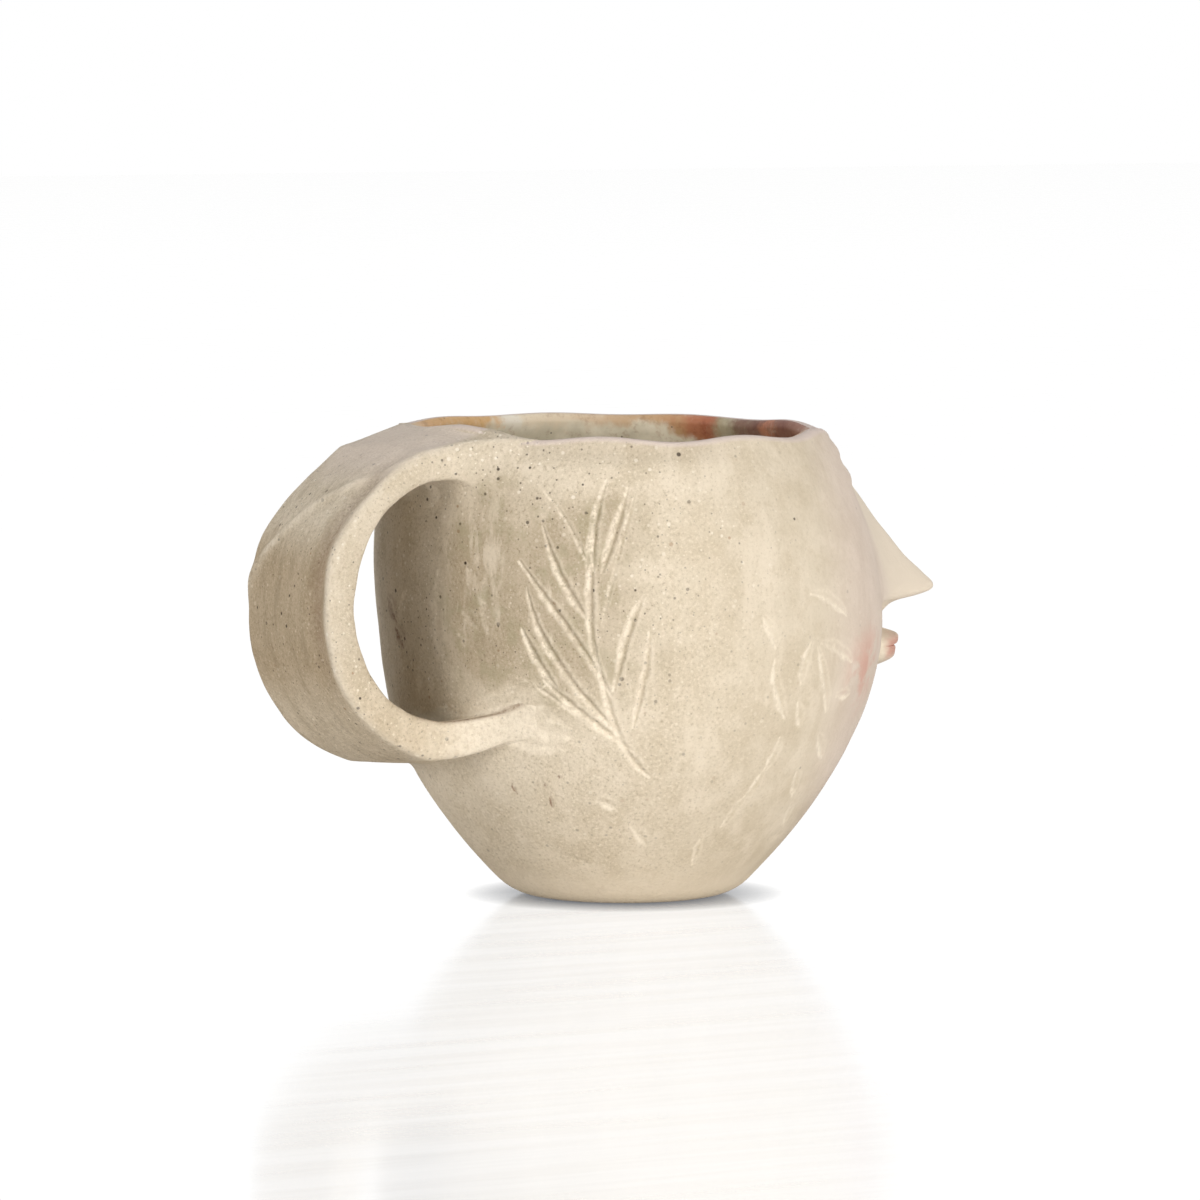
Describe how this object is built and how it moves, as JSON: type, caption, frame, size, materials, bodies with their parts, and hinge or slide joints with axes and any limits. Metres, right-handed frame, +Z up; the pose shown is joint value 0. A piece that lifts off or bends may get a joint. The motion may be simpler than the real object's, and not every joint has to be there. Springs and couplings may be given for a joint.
{
  "type": "mug",
  "caption": "Hand-built stoneware mug: a rounded cup on a narrow flat foot with a wide strap handle, a pointed nose and pouting lips, glazed inside.",
  "frame": {"origin": "centre of the flat foot, on the surface that the mug stands on", "axes": "+Z up; the handle lies along -X and the face looks roughly along +X"},
  "size_m": [0.1382, 0.097, 0.091],
  "materials": {
    "clay": "matte",
    "handle_clay": "matte",
    "joint_clay": "matte",
    "lip_stain": "matte",
    "glaze": "gloss"
  },
  "bodies": {
    "root": {"floor_disc": "clay", "body": "clay", "handle_strap": "handle_clay", "upper_joint": "joint_clay", "lower_joint": "joint_clay", "nose": "clay", "upper_lip": "lip_stain", "lower_lip": "lip_stain", "glaze_lining": "glaze"}
  },
  "joints": []
}
